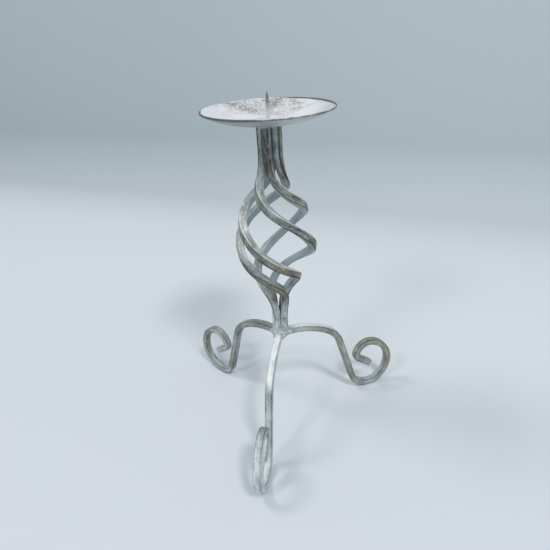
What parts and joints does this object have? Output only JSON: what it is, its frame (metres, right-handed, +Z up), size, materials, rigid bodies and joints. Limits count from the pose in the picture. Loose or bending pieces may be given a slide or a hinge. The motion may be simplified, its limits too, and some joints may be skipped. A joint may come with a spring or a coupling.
{
  "type": "candle holder",
  "caption": "Pricket candle holder: a shallow drip pan with a spike on a basket-twist stem of square bar, standing on scrolled legs, in worn white paint.",
  "frame": {"origin": "on the stem's axis, at the floor that the three scrolls stand on", "axes": "+Z up along the stem; one leg points along -Y"},
  "size_m": [0.2092, 0.1815, 0.3048],
  "materials": {
    "bar_paint": "white paint rubbed through to brown and grey metal",
    "pan_paint": "white paint, worn dark along the rim",
    "weld_paint": "white paint over weld beads",
    "spike_steel": "thin worn paint over steel"
  },
  "bodies": {
    "root": {"drip_pan": "pan_paint", "pricket": "spike_steel", "pan_weld": "weld_paint", "hub_weld": "weld_paint", "stem_bar_1": "bar_paint", "stem_bar_2": "bar_paint", "stem_bar_3": "bar_paint", "stem_bar_4": "bar_paint", "leg_1": "bar_paint", "leg_2": "bar_paint", "leg_3": "bar_paint"}
  },
  "joints": []
}
